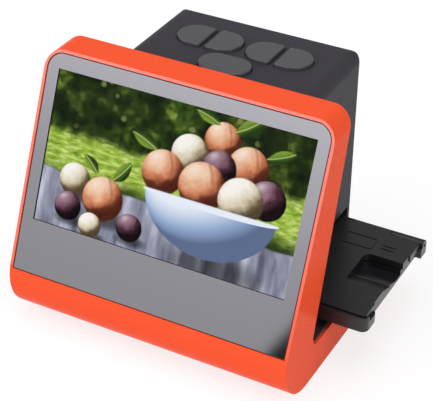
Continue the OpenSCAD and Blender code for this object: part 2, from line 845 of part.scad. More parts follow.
module led_board() color("darkgreen") placed() translate([0, film_y, 0])
  block(led_board_w, led_board_d, cover_t, cover_t + pcb_t, 1);

module leds() color("lightyellow") placed() translate([0, film_y, light_z0])
  for (i = [0:led_cols - 1], j = [0:led_rows - 1])
    translate([
      (i - (led_cols - 1) / 2) * led_pitch[0] - led_size[0] / 2,
      (j - (led_rows - 1) / 2) * led_pitch[1] - led_size[1] / 2, 0
    ]) cube(led_size);

// ---------- camera ----------

module optics_tower() color("black") placed() translate([0, film_y, 0]) difference() {
  union() {
    block(tower_foot_w, tower_foot_d, lid_top, lid_top + tower_foot_t, 2);
    block(tower_w, tower_d, lid_top, tower_z1, 2);
    at_pairs(post_x, [-post_x, post_x]) rod(post_r, tower_z1 - 1, sensor_z);
  }
  block(
    tower_w - 2 * tower_wall, tower_d - 2 * tower_wall,
    lid_top - 1, tower_z1 - tower_top_t, 1
  );
  rod(barrel_r + optic_gap, tower_z1 - tower_top_t - 1, tower_z1 + 1);
  at_pairs(tower_screw[0], [-tower_screw[1], tower_screw[1]])
    rod(fine_r + screw_gap, lid_top - 1, lid_top + tower_foot_t + 1);
  at_pairs(post_x, [-post_x, post_x]) rod(fine_r + screw_gap, sensor_z - 5, sensor_z + 1);
}

module tower_screws() color("silver") placed()
  at_pairs(tower_screw[0], [film_y - tower_screw[1], film_y + tower_screw[1]])
    translate([0, 0, lid_top + tower_foot_t])
      screw(fine_r, tower_foot_t + lid_t, fine_head_r, fine_head_h);

module lens_barrel() color("black") placed() translate([0, film_y, 0]) difference() {
  union() {
    rod(barrel_r, tower_z1 - barrel_drop, sensor_z - sensor_size[2] - 0.3);
    rod(barrel_flange_r, tower_z1, tower_z1 + barrel_flange_t);
  }
  rod(lens_r + optic_gap, tower_z1 - barrel_drop - 1, tower_z1 - barrel_drop + lens_t);
  rod(lens_r - 0.8, tower_z1 - barrel_drop, sensor_z);
}

// The lens seats against the barrel's inner shoulder
module lens() color([0.7, 0.85, 0.95]) placed()
  translate([0, film_y, tower_z1 - barrel_drop + lens_t / 2]) {
    rod(lens_r, -lens_t / 2 + 1, lens_t / 2);
    intersection() {
      translate([0, 0, lens_ball_r - lens_t / 2]) sphere(r = lens_ball_r, $fn = 64);
      rod(lens_r, -lens_t / 2, 0);
    }
  }

module sensor_board() color("darkgreen") placed() translate([0, film_y, 0]) difference() {
  block(sensor_board_w, sensor_board_w, sensor_z, sensor_z + pcb_t, 1.5);
  at_pairs(post_x, [-post_x, post_x])
    rod(fine_r + screw_gap, sensor_z - 1, sensor_z + pcb_t + 1);
}

module sensor_screws() color("silver") placed()
  at_pairs(post_x, [film_y - post_x, film_y + post_x]) translate([0, 0, sensor_z + pcb_t])
    screw(fine_r, pcb_t + sensor_screw_l, fine_head_r, fine_head_h);

module image_sensor() color("slategray") placed()
  translate([0, film_y, 0]) block(sensor_size[0], sensor_size[1], sensor_z - sensor_size[2], sensor_z);

// ---------- main board ----------

module main_board() color("darkgreen") placed() difference() {
  translate([0, (board_y0 + board_y1) / 2, 0]) block(board_w, board_d, board_z0, board_z1, 1.5);
  at_pairs(board_boss_x, board_boss_y)
    rod(fine_r + screw_gap, board_z0 - 1, board_z1 + 1);
}

// Processor, memory, power inductor and cable socket
module board_chips() color([0.15, 0.15, 0.17]) placed() {
  chip(0, processor_y, processor);
  chip(memory_x, processor_y, memory);
  chip(inductor_x, inductor_y, inductor);
  chip(0, cable_socket_y, cable_socket);
}

module chip(x, y, size) {
  translate([x - size[0] / 2, y - size[1] / 2, board_z1]) cube(size);
}

module board_screws() color("silver") placed() at_pairs(board_boss_x, board_boss_y)
  translate([0, 0, board_z0]) rotate([180, 0, 0])
    screw(fine_r, pcb_t + board_screw_l - 1, fine_head_r, fine_head_h);

// A metal socket on the main board's top, open at the rear
module socket(x, size, tongue) {
  translate([x - size[0] / 2, port_mouth - size[1], board_z1]) difference() {
    cube(size);
    translate([socket_wall, socket_back, socket_wall])
      cube([size[0] - 2 * socket_wall, size[1], size[2] - 2 * socket_wall]);
  }
  translate([
    x - tongue[0] / 2, port_mouth - size[1] + socket_back / 2,
    board_z1 + (size[2] - tongue[2]) / 2
  ]) cube(tongue);
}

module usb_port() color("silver") placed() socket(usb_x, usb_size, usb_tongue);

module video_port() color("silver") placed() socket(video_x, video_size, video_tongue);

module card_slot() color("silver") placed() socket(card_x, card_size, card_tongue);

// ---------- keys ----------

module key_board() color("darkgreen") placed() difference() {
  translate([0, (key_board_y[0] + key_board_y[1]) / 2, 0]) block(
    key_board_w, key_board_y[1] - key_board_y[0], key_board_z, key_board_z + pcb_t, 2
  );
  at_pairs(key_boss[0], key_boss_y)
    rod(fine_r + screw_gap, key_board_z - 1, key_board_z + pcb_t + 1);
}

module key_switches() color("silver") placed() for (p = key_spots)
  translate([p[0], p[1], 0]) rod(switch_r, mat_z, mat_z + switch_h);

module key_mat() color("lightgray") placed() difference() {
  union() {
    translate([0, (key_board_y[0] + key_board_y[1]) / 2, 0]) block(
      key_board_w - 3, key_board_y[1] - key_board_y[0] - 3, mat_z, mat_z + mat_t, 2
    );
    for (p = key_spots) translate([p[0], p[1], 0]) rod(dome_r, mat_z, mat_top);
  }
  for (p = key_spots) translate([p[0], p[1], 0]) rod(switch_r + 0.3, mat_z - 1, mat_z + 0.8);
  at_pairs(key_boss[0], key_boss_y) rod(key_boss_r + 0.4, mat_z - 1, mat_top);
}

module key_screws() color("silver") placed() at_pairs(key_boss[0], key_boss_y)
  translate([0, 0, key_board_z]) rotate([180, 0, 0])
    screw(fine_r, pcb_t + key_screw_l, fine_head_r, fine_head_h);

// A key cap with its retaining flange and stem; the outline is the child
module key_cap(spot) {
  translate([0, 0, key_flange_z]) linear_extrude(body_top + key_proud - key_flange_z) children(0);
  translate([0, 0, key_flange_z]) linear_extrude(key_flange_t) children(1);
  translate([spot[0], spot[1], 0]) rod(stem_r, key_stem_z, key_flange_z + eps);
}

module d_key(i) color([0.3, 0.3, 0.32]) placed() key_cap(key_spots[i]) {
  key_outline(i);
  key_outline(i, key_gap + key_flange);
}

module button_far_left() d_key(0);

module button_mid_left() d_key(1);

module button_mid_right() d_key(2);

module button_far_right() d_key(3);

module button_capture() color([0.3, 0.3, 0.32]) placed() key_cap(key_spots[4]) {
  oval_outline();
  oval_outline(key_gap + key_flange);
}

// ---------- film tray ----------

module tray_plan(z0, z1) {
  translate([0, tray_y, 0]) block(tray_l, tray_d, z0, z1, tray_corner_r);
}

// Scoop at each end where a thumb meets the film; its floor rises to the front
module thumb_scoop() {
  for (s = [0, 1]) mirror([s, 0, 0]) intersection() {
    translate([tray_l / 2 - thumb_l + reach / 2, 0, 0]) across(reach) polygon([
      [thumb_rear - thumb_d, tray_z1 + 1], [thumb_rear, tray_z1 + 1],
      [thumb_rear, tray_z1 - thumb_h], [thumb_rear - 5, tray_z1 - thumb_h],
      [thumb_rear - thumb_d, tray_z1 - 0.2]
    ]);
    translate([tray_l / 2, thumb_rear - thumb_d / 2, 0])
      block(2 * thumb_l, thumb_d, tray_z0, tray_z1 + 2, tray_corner_r);
  }
}

// Space at each end edge, cut back by depth between two places
module end_cut(depth, near, far) {
  for (s = [-1, 1]) translate([s * (tray_l / 2 + 5 - depth), (near + far) / 2, 0])
    block(10, far - near, tray_z0 - 1, tray_z1 + 1);
}

module film_window() {
  translate([0, film_y, 0]) block(window_w, window_d, tray_z0 - 1, tray_z1 + 1, 1);
}

module knuckle(x0, x1, r) {
  translate([x0, knuckle_y, knuckle_z]) rotate([0, 90, 0]) cylinder(r = r, h = x1 - x0);
}

module tray_frame() color([0.17, 0.17, 0.18]) placed() difference() {
  union() {
    difference() {
      union() {
        tray_plan(tray_z0, tray_split_z);
        // front rail with an ear at each end
        difference() {
          translate([0, tray_y0 + ear_d / 2, 0])
            block(tray_full_l, ear_d, tray_z0, tray_z1 - rail_drop, tray_corner_r);
          translate([0, tray_y0 + rail_t + reach / 2, 0])
            block(tray_l + 2 * tray_seam, reach, tray_split_z, tray_z1);
          translate([0, tray_y0 + tray_corner_r + reach / 2, 0])
            block(tray_full_l + 2, reach, tray_split_z, tray_z1);
        }
      }
      // room for the cover's knuckle
      knuckle(-knuckle_x - knuckle_clear, knuckle_x + knuckle_clear, knuckle_r + knuckle_clear);
      translate([0, knuckle_y + knuckle_r, 0]) block(
        2 * (knuckle_x + knuckle_clear), 2 * knuckle_r, knuckle_z - knuckle_r / 2, tray_z1
      );
      // film track
      translate([0, film_y, 0])
        block(2 * reach, track_w, tray_split_z - track_t, tray_split_z + 1);
      end_cut(frame_back, mouth_y0, lug_y0);
    }
    // end lugs and end knuckles
    for (s = [0, 1]) mirror([s, 0, 0]) {
      translate([tray_l / 2 - 1, lug_y0, tray_z0])
        cube([lug_l + 1, knuckle_y - lug_y0, tray_split]);
      translate([tray_l / 2 + tray_seam, lug_y0, tray_z0])
        cube([lug_l - tray_seam, knuckle_y - lug_y0, tray_h - lug_drop]);
      knuckle(knuckle_x + knuckle_clear, tray_l / 2 + lug_l, knuckle_r);
      translate([knuckle_x + knuckle_clear, knuckle_y - knuckle_r, tray_z0])
        cube([tray_l / 2 + lug_l - knuckle_x - knuckle_clear, 2 * knuckle_r, knuckle_z - tray_z0]);
    }
  }
  film_window();
  thumb_scoop();
  knuckle(-tray_l, tray_l, pin_r + pin_gap);
}

module tray_cover() color([0.2, 0.2, 0.21]) placed() difference() {
  union() {
    difference() {
      tray_plan(tray_cover_z, tray_z1);
      // front edge behind the rail
      translate([0, tray_y0, 0])
        block(reach, 2 * (rail_t + rail_gap), tray_z0, tray_z1 + 1);
      // rear edge ahead of the knuckles
      translate([0, knuckle_y - knuckle_r - knuckle_clear + tray_d / 2, 0])
        block(reach, tray_d, tray_z0, tray_z1 + 1);
      end_cut(mouth_cover, mouth_y0, mouth_y1);
    }
    // long knuckle and its web
    difference() {
      union() {
        knuckle(-knuckle_x, knuckle_x, knuckle_r);
        translate([-knuckle_x, knuckle_y - knuckle_r - 1, knuckle_z])
          cube([2 * knuckle_x, knuckle_r + 1, knuckle_r]);
      }
      hinge_notches();
    }
    // bare raised panel and ribs on the top
    for (s = [0, 1]) mirror([s, 0, 0]) relief();
  }
  film_window();
  thumb_scoop();
  knuckle(-tray_l, tray_l, pin_r + pin_gap);
}

module hinge_notches() {
  for (s = [-1, 1]) translate([s * (body_w / 2 + 3.8), knuckle_y, 0])
    block(4, 3, tray_z1 - 1, tray_z1 + 1);
}

module relief() {
  relief_h = 0.25;
  line_w = 0.5;
  panel = [14, 8];
  panel_x = tray_l / 2 - 22.8;
  panel_y = film_y + 18.5;
  translate([panel_x, panel_y, tray_z1 - 0.2]) linear_extrude(relief_h + 0.2) difference() {
    round_rect(panel[0], panel[1], 1);
    round_rect(panel[0] - 2 * line_w, panel[1] - 2 * line_w, 0.6);
  }
  for (j = [-1, 1]) translate([panel_x + 13, panel_y + j * 1.2, 0])
    block(6, line_w, tray_z1 - 0.2, tray_z1 + relief_h);
}

module tray_hinge_pin() color("silver") placed()
  knuckle(0.5 - tray_full_l / 2, tray_full_l / 2 - 0.5, pin_r);

frame_shell();
base_cover();
rubber_feet();
base_screws();
front_glass();
glass_tape();
lcd_module();
lcd_bracket();
lcd_screws();
display_cable();
body_shell();
body_screws();
tray_channel();
channel_cover();
channel_screws();
light_box();
diffuser();
led_board();
leds();
optics_tower();
lens_barrel();
lens();
sensor_board();
image_sensor();
tower_screws();
sensor_screws();
main_board();
board_chips();
board_screws();
usb_port();
video_port();
card_slot();
key_board();
key_switches();
key_mat();
key_screws();
button_far_left();
button_mid_left();
button_mid_right();
button_far_right();
button_capture();
tray_frame();
tray_cover();
tray_hinge_pin();
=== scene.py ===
"""Looks of the film negative scanner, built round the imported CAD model."""

import json
import math

import bmesh
import bpy
from mathutils import Matrix, Vector
from mathutils.bvhtree import BVHTree

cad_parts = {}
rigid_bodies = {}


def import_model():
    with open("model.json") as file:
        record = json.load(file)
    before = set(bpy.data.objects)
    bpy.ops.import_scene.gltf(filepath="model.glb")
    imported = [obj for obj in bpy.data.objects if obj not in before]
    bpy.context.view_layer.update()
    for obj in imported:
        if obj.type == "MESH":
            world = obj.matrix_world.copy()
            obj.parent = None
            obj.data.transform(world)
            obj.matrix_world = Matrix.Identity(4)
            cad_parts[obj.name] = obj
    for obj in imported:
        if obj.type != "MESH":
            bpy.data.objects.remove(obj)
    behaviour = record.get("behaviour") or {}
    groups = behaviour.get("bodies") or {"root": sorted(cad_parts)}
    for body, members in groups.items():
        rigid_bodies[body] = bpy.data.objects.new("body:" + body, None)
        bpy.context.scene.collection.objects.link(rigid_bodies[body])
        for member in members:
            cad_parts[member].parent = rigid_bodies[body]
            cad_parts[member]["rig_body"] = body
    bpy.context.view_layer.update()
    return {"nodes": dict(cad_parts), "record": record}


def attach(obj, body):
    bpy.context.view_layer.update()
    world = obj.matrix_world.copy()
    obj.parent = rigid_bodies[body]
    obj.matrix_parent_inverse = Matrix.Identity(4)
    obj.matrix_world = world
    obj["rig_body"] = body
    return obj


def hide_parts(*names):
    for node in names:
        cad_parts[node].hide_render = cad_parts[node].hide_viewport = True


MM = 0.001

# The photograph's frame and the camera fitted to it
PHOTO_WIDTH_PX = 433
FOCAL_PX = 1493
SENSOR_MM = 36
NEAREST_SEEN = 0.01
CAMERA_AZIMUTH = math.radians(27.84)
CAMERA_ELEVATION = math.radians(33.36)
CAMERA_ROLL = math.radians(0.66)
CAMERA_PLACE = Vector((0.23800, -0.44247, 0.37862))

# Stage and light, in metres; a light of 1 is white
AIM = Vector((0, 0, 0.06))
FLOOR_HALF = 6
FLOOR_TONE = 0.9
SEEN_FLOOR_TONE = 0.3
SEEN_FLOOR_GLOW = 0.76
WORLD_LIGHT = 0.42
SCREEN_LIGHT = 2.85
SCREEN_COLOUR = (0.945, 0.925, 1.0)
SCREEN_HALF_W = 1.15
SCREEN_HALF_H = 0.75
# Where the lit screen stands: azimuth and elevation in degrees, and distance
SCREEN_PLACE = (-42, 22, 2.0)
# The lit screen ends on a slant: how much across and up count in the distance to that end,
# and where along that distance the light is out and full
SLANT_ACROSS = 0.961
SLANT_UP = 0.278
SCREEN_DARK_FROM = 1.122
SCREEN_LIT_TO = 1.094
# Lamps: azimuth and elevation in degrees, size in metres and power in watts
LAMP_DISTANCE = 1.1
LAMPS = {"overhead": (20, 78, 0.9, 4.5), "right_side": (75, 30, 0.6, 1.8)}

# Printed border of the glass, from the glass's own edge to the picture
BORDER_SIDE = 5.1 * MM
BORDER_TOP = 6.1 * MM
BORDER_BOTTOM = 21.9 * MM

# Rounding of edges, as the width of the bevel
STAND_EDGE = 1.0 * MM
BUTTON_EDGE = 0.7 * MM
CASE_EDGE = 0.3 * MM
GLASS_EDGE = 0.2 * MM
SOCKET_EDGE = 0.12 * MM
# Share of the stand's rounding at the rim's inner and outer edges, and how far down the nose
# it takes to grow to the full width
RIM_EDGE_SHARE = 0.15
OUTER_EDGE_SHARE = 0.25
EDGE_GROWTH = 14 * MM
# Depth and reach within which an edge belongs to the rim round the glass
FRONT_REACH = 2 * MM
RIM_EDGE_REACH = 0.6 * MM
# Depth of the picture behind the glass
PICTURE_SINK = 0.08 * MM

# Cleaning of a mesh: points closer than this are joined, and faces flatter than this merged
WELD_DISTANCE = 0.0002 * MM
FLAT_ANGLE = math.radians(0.4)
# An edge is rounded from this angle up, if light reaches it: the test's rays start this far
# off it, and the slanting ones leave one face's normal by this much of the other's
SHARP_ANGLE = math.radians(30)
RAY_START = 0.02 * MM
RAY_LEAN = 0.2
# Depth within which points are level with the display's face, and the least cosine between
# the normals of a face and of the glass for the two to be parallel
LEVEL_DEPTH = 0.01 * MM
PARALLEL = 0.999

# Colour of the stand (sRGB)
STAND_ORANGE = (254, 91, 53)
# How far the roughness of a matt and of a glossy plastic drifts over its surface
MATT_DRIFT = 0.06
GLOSS_DRIFT = 0.04

# Kinds of fruit in the picture: lit, middle and shaded colour (sRGB)
PEACH = ((244, 206, 172), (214, 134, 92), (104, 44, 26))
PLUM = ((150, 112, 128), (76, 40, 54), (22, 8, 14))
CREAM = ((250, 246, 234), (214, 200, 170), (110, 92, 66))
# Fruit, the farthest first: centre, radius and kind, in picture heights from the middle of
# the picture's foot
FRUIT_IN_BOWL = [
    ((0.30, 0.83), 0.125, PEACH), ((0.10, 0.70), 0.13, CREAM), ((0.50, 0.71), 0.14, PEACH),
    ((0.31, 0.66), 0.12, PLUM), ((-0.06, 0.54), 0.15, PEACH), ((0.66, 0.55), 0.13, PLUM),
    ((0.22, 0.52), 0.165, PEACH), ((0.49, 0.50), 0.155, CREAM),
]
FRUIT_ON_CLOTH = [
    ((-0.66, 0.33), 0.115, CREAM), ((-0.44, 0.26), 0.15, PEACH), ((-0.68, 0.15), 0.10, PLUM),
    ((-0.22, 0.13), 0.095, PLUM), ((-0.50, 0.07), 0.085, CREAM),
]
# Leaves: foot, length, width and turn from the picture's right, in degrees
LEAVES = [
    ((0.36, 0.90), 0.22, 0.085, 24), ((0.27, 0.92), 0.19, 0.07, 152),
    ((-0.12, 0.66), 0.21, 0.08, 148), ((0.60, 0.80), 0.20, 0.075, 12),
    ((-0.40, 0.39), 0.20, 0.08, 40), ((-0.50, 0.40), 0.17, 0.065, 128),
]
# Bowl: middle of its rim, half width and depth
BOWL = ((0.30, 0.44), 0.46, 0.36)


# ---------- node graphs ----------

class Graph:
    """A material's node tree, with short calls that add and join nodes."""

    def __init__(self, name):
        self.material = bpy.data.materials.new(name)
        self.material.use_nodes = True
        self.tree = self.material.node_tree
        self.tree.nodes.clear()
        self.output = self.node("ShaderNodeOutputMaterial")

    def node(self, kind, inputs=None, **settings):
        made = self.tree.nodes.new(kind)
        for key, value in settings.items():
            setattr(made, key, value)
        for key, value in (inputs or {}).items():
            self.feed(made.inputs[key], value)
        return made

    def feed(self, socket, value):
        if isinstance(value, bpy.types.NodeSocket):
            self.tree.links.new(value, socket)
        elif hasattr(value, "__len__") and len(value) == 3 and len(socket.default_value) == 4:
            socket.default_value = (*value, 1)
        else:
            socket.default_value = value

    def math(self, operation, *values, clamp=False):
        made = self.node("ShaderNodeMath", operation=operation, use_clamp=clamp)
        for socket, value in zip(made.inputs, values):
            self.feed(socket, value)
        return made.outputs[0]

    def times(self, a, b):
        return self.math("MULTIPLY", a, b)

    def minus(self, a, b):
        return self.math("SUBTRACT", a, b)

    def times_plus(self, a, b, c, clamp=False):
        return self.math("MULTIPLY_ADD", a, b, c, clamp=clamp)

    def mix(self, factor, a, b):
        made = self.node("ShaderNodeMix", data_type="RGBA")
        colours = [s for s in made.inputs if s.type == "RGBA"]
        self.feed(made.inputs[0], factor)
        self.feed(colours[0], a)
        self.feed(colours[1], b)
        return [s for s in made.outputs if s.type == "RGBA"][0]

    def ramp(self, factor, stops):
        """A value mapped through places and their colours, or their grey levels."""
        made = self.node("ShaderNodeValToRGB", {"Fac": factor})
        elements = made.color_ramp.elements
        while len(elements) < len(stops):
            elements.new(0.5)
        for element, (place, value) in zip(elements, stops):
            element.position = place
            element.color = (*(value if hasattr(value, "__len__") else (value,) * 3), 1)
        return made.outputs[0]

    def noise(self, scale, detail=2, vector=None, rough=0.5):
        made = self.node(
            "ShaderNodeTexNoise", {"Scale": scale, "Detail": detail, "Roughness": rough})
        self.tree.links.new(vector or self.place(), made.inputs["Vector"])
        return made.outputs["Fac"]

    def place(self):
        """Where a point is on the object, in metres."""
        return self.node("ShaderNodeTexCoord").outputs["Object"]

    def stretched(self, vector, scale, turn=0):
        """Coordinates scaled along their axes, and turned about the last one in radians."""
        return self.node("ShaderNodeMapping", {
            "Vector": vector, "Rotation": (0, 0, turn), "Scale": scale}).outputs[0]

    def spread(self, value, low, high):
        """A 0 to 1 value mapped to low to high."""
        return self.node(
            "ShaderNodeMapRange", {"Value": value, "To Min": low, "To Max": high}
        ).outputs[0]

    def step(self, value, low, high):
        """0 at low and 1 at high, with a soft start and end."""
        return self.node(
            "ShaderNodeMapRange", {"Value": value, "From Min": low, "From Max": high},
            interpolation_type="SMOOTHSTEP",
        ).outputs[0]

    def bump(self, height, strength, depth):
        return self.node("ShaderNodeBump", {
            "Height": height, "Strength": strength, "Distance": depth}).outputs[0]

    def finish(self, shader):
        self.tree.links.new(shader, self.output.inputs["Surface"])
        return self.material

    def principled(self, **inputs):
        made = self.node("ShaderNodeBsdfPrincipled")
        for key, value in inputs.items():
            self.feed(made.inputs[key.replace("_", " ")], value)
        return self.finish(made.outputs[0])


def srgb(r, g, b):
    """A colour written as 0 to 255, as scene-linear values."""
    return tuple(
        c / 12.92 if c <= 0.04045 else ((c + 0.055) / 1.055) ** 2.4
        for c in (v / 255 for v in (r, g, b))
    )


def shade(colour, factor):
    return tuple(min(1, c * factor) for c in colour)


# ---------- materials ----------

def plastic(name, colour, rough, grain, grain_depth, drift=0.06, ior=1.5):
    """Moulded plastic: grain is the texture's size and grain_depth its height, in metres,
    and drift is how far its tone wanders."""
    g = Graph(name)
    cloud = g.noise(28, 3)
    fine = g.noise(1 / grain, 2)
    tone = g.mix(cloud, shade(colour, 1 - drift), shade(colour, 1 + drift))
    roughness = g.spread(g.noise(140, 4, rough=0.6), rough - MATT_DRIFT, rough + MATT_DRIFT)
    return g.principled(
        Base_Color=tone, Roughness=roughness, Normal=g.bump(fine, 1, grain_depth), IOR=ior,
    )


def glossy_orange(name, rough, ior):
    """Moulded gloss plastic: faint flow tone, orange peel and fine handling marks."""
    g = Graph(name)
    colour = srgb(*STAND_ORANGE)
    tone = g.mix(g.noise(16, 3), shade(colour, 0.95), shade(colour, 1.05))
    peel = g.noise(650, 2)
    marks = g.node("ShaderNodeTexNoise", {
        "Vector": g.place(), "Scale": 420, "Detail": 6, "Roughness": 0.7, "Distortion": 2.0,
    }).outputs[0]
    return g.principled(
        Base_Color=tone, Roughness=g.spread(marks, rough - GLOSS_DRIFT, rough + GLOSS_DRIFT),
        Normal=g.bump(peel, 0.5, 0.003 * MM), IOR=ior,
    )


def black_gloss_panel():
    """The printed border on the glass: black, and glossy enough to mirror the studio."""
    g = Graph("glass_border")
    ink = srgb(14, 13, 16)
    smear = g.noise(45, 5, rough=0.65)
    return g.principled(
        Base_Color=g.mix(smear, shade(ink, 0.8), shade(ink, 1.3)),
        Roughness=g.spread(smear, 0.03, 0.07), IOR=2.4,
    )


def metal(name, colour, rough, streak=(1, 1, 1)):
    """Plated or pressed metal; streak squeezes its fine marks along an axis."""
    g = Graph(name)
    marks = g.noise(900, 4, g.stretched(g.place(), streak))
    tone = g.mix(marks, shade(colour, 0.86), shade(colour, 1.08))
    return g.principled(
        Base_Color=tone, Metallic=1.0, Roughness=g.spread(marks, rough - 0.08, rough + 0.1),
        Normal=g.bump(marks, 0.4, 0.01 * MM),
    )


def circuit_board():
    """Green solder mask over tracks, with pale pads."""
    g = Graph("board_green")
    mask = srgb(18, 96, 48)
    at = g.stretched(g.place(), (1, 1, 0.01))
    tracks = g.node("ShaderNodeTexBrick", {
        "Vector": at, "Scale": 260, "Mortar Size": 0.012, "Color1": (1, 1, 1),
        "Color2": (0.8,) * 3, "Mortar": (0, 0, 0)}).outputs[0]
    cells = g.node("ShaderNodeTexVoronoi", {"Vector": at, "Scale": 420}).outputs[0]
    pads = g.ramp(cells, [(0.16, 1.0), (0.2, 0.0)])
    tone = g.mix(tracks, shade(mask, 1.7), mask)
    tone = g.mix(pads, tone, srgb(190, 180, 120))
    return g.principled(
        Base_Color=tone, Roughness=g.spread(g.noise(300), 0.3, 0.45),
        Normal=g.bump(tracks, 0.4, 0.02 * MM),
    )


def rubber(name, colour, rough=0.8):
    """Matt rubber or silicone with a fine grain."""
    g = Graph(name)
    grain = g.noise(2600, 3)
    return g.principled(
        Base_Color=g.mix(g.noise(90), shade(colour, 0.8), shade(colour, 1.3)),
        Roughness=g.spread(grain, rough - 0.08, rough + 0.08),
        Normal=g.bump(grain, 0.8, 0.03 * MM), Sheen_Weight=0.1,
    )


def clear_glass(name, tint, ior=1.5):
    """Polished glass with faint smears."""
    g = Graph(name)
    smear = g.noise(60, 4, rough=0.7)
    return g.principled(
        Base_Color=g.mix(smear, shade(tint, 0.97), tint), Roughness=g.spread(smear, 0.02, 0.05),
        Transmission_Weight=1.0, IOR=ior,
    )


def diffusing(name, colour):
    """Opal plastic that scatters the light behind it."""
    g = Graph(name)
    grain = g.noise(1800, 2)
    return g.principled(
        Base_Color=g.mix(g.noise(60), shade(colour, 0.95), colour),
        Roughness=g.spread(grain, 0.45, 0.6), Normal=g.bump(grain, 0.5, 0.01 * MM),
        Subsurface_Weight=0.2,
    )


# ---------- the picture on the display ----------

def panel_coordinates(g):
    """Across and up the picture, in picture heights from its lower middle."""
    place = g.place()

    def along(axis):
        return g.node(
            "ShaderNodeVectorMath", {0: place, 1: tuple(c / picture_height for c in axis)},
            operation="DOT_PRODUCT",
        ).outputs["Value"]

    return along((1, 0, 0)), g.minus(along(panel_up), picture_foot / picture_height)


def ellipse(g, x, y, centre, wide, tall):
    """Across and up from an ellipse's centre, in its own half sizes, and the squared distance."""
    dx = g.math("DIVIDE", g.minus(x, centre[0]), wide)
    dy = g.math("DIVIDE", g.minus(y, centre[1]), tall)
    return dx, dy, g.math("ADD", g.times(dx, dx), g.times(dy, dy))


def roundness(g, dx, dy, far):
    """How much light from the upper left a round form gets at a place on its disc."""
    front = g.math("SQRT", g.math("MAXIMUM", g.minus(1.0, far), 0.0))
    side = g.times_plus(dx, -0.42, g.times(dy, 0.62))
    return g.times_plus(front, 0.66, side, clamp=True)


def shadow_under(g, under, x, y, centre, radius):
    """A soft flat shadow below a round thing, a little to its right."""
    far = ellipse(g, x, y, (centre[0] + radius * 0.3, centre[1] - radius * 0.85),
                  radius * 1.5, radius * 0.5)[2]
    return g.mix(g.step(far, 1.0, 0.0), under, g.mix(0.8, under, srgb(20, 16, 16)))


def fruit(g, under, x, y, blur, centre, radius, kind):
    """A round fruit painted over a picture, lit from the upper left, with a gleam."""
    lit_tone, middle, shaded = (srgb(*t) for t in kind)
    dx, dy, far = ellipse(g, x, y, centre, radius, radius * 0.96)
    lit = roundness(g, dx, dy, far)
    skin = g.times_plus(g.minus(blur, 0.5), 0.8, lit, clamp=True)
    tone = g.ramp(skin, [
        (0.02, shade(shaded, 0.5)), (0.25, shaded), (0.55, middle), (0.92, lit_tone)])
    if kind is PEACH:
        bend = g.times_plus(g.times(dy, dy), 0.3, g.minus(dx, 0.42))
        cleft = g.step(g.math("ABSOLUTE", bend), 0.12, 0.0)
        fade = g.step(dy, -0.7, 0.5)
        tone = g.mix(g.times(g.times(cleft, fade), 0.4), tone, shaded)
    gleam = g.math("POWER", lit, 26.0)
    tone = g.mix(g.times(gleam, 0.4), tone, (1, 1, 1))
    return g.mix(g.step(far, 1.03, 0.92), under, tone)


def leaf(g, under, x, y, foot, length, width, turn):
    """A pointed leaf painted over a picture, with a pale midrib."""
    c, s = math.cos(math.radians(turn)), math.sin(math.radians(turn))
    dx, dy = g.minus(x, foot[0]), g.minus(y, foot[1])
    along = g.math("DIVIDE", g.times_plus(dx, c, g.times(dy, s)), length)
    side = g.math("DIVIDE", g.times_plus(dy, c, g.times(dx, -s)), width)
    side = g.minus(side, g.times(g.times(along, along), 0.5))
    off = g.math("ABSOLUTE", side)
    within = g.math("MINIMUM", g.math("MAXIMUM", along, 0.0), 1.0)
    belly = g.math("SINE", g.times(within, math.pi))
    inside = g.step(g.minus(g.times(belly, 0.6), off), 0.0, 0.08)
    tone = g.mix(g.step(side, -0.4, 0.5), srgb(28, 58, 14), srgb(124, 158, 52))
    tone = g.mix(g.step(off, 0.07, 0.0), tone, srgb(186, 206, 120))
    return g.mix(inside, under, tone)


def garden(g, y, spot):
    """The picture's background: leaves with pale light between them, a sunny lawn, shade."""
    leaves = g.ramp(g.noise(7.5, 6, spot, 0.66), [
        (0.34, srgb(6, 14, 2)), (0.47, srgb(26, 46, 8)), (0.58, srgb(70, 98, 24)),
        (0.7, srgb(164, 184, 72))])
    depth = g.step(g.noise(1.8, 2, spot), 0.42, 0.6)
    leaves = g.mix(depth, g.mix(0.6, leaves, srgb(8, 18, 4)), leaves)
    spots = g.node(
        "ShaderNodeTexVoronoi", {"Vector": spot, "Scale": 13, "Randomness": 1.0})
    disc = g.step(spots.outputs["Distance"], 0.3, 0.2)
    lit = g.step(g.noise(3.4, 1, spot), 0.52, 0.64)
    leaves = g.mix(g.times(g.times(disc, lit), 0.3), leaves, srgb(190, 206, 110))
    lawn = g.ramp(g.noise(1.6, 5, g.stretched(spot, (7, 22, 1)), 0.65), [
        (0.3, srgb(88, 124, 28)), (0.5, srgb(158, 190, 64)), (0.68, srgb(222, 232, 150))])
    edge = g.times_plus(g.noise(4.0, 4, spot, 0.6), 0.22, y)
    ground = g.mix(g.step(edge, 0.4, 0.52), srgb(46, 70, 20), lawn)
    return g.mix(g.step(edge, 0.68, 0.76), ground, leaves)


def cloth(g, under, x, y, spot):
    """A grey-blue cloth along the foot of the picture, in soft folds, with its shadow."""
    slope = g.times_plus(x, 0.06, y)
    tone = g.ramp(g.noise(1.0, 3, g.stretched(spot, (9, 2.2, 1), turn=0.5), 0.5), [
        (0.3, srgb(92, 94, 112)), (0.5, srgb(156, 160, 178)), (0.68, srgb(214, 218, 230))])
    top = g.times_plus(g.noise(2.2, 2, spot), 0.1, slope)
    shadow = g.mix(g.times(g.step(top, 0.46, 0.3), 0.6), under, srgb(20, 30, 12))
    return g.mix(g.step(top, 0.37, 0.35), shadow, tone)


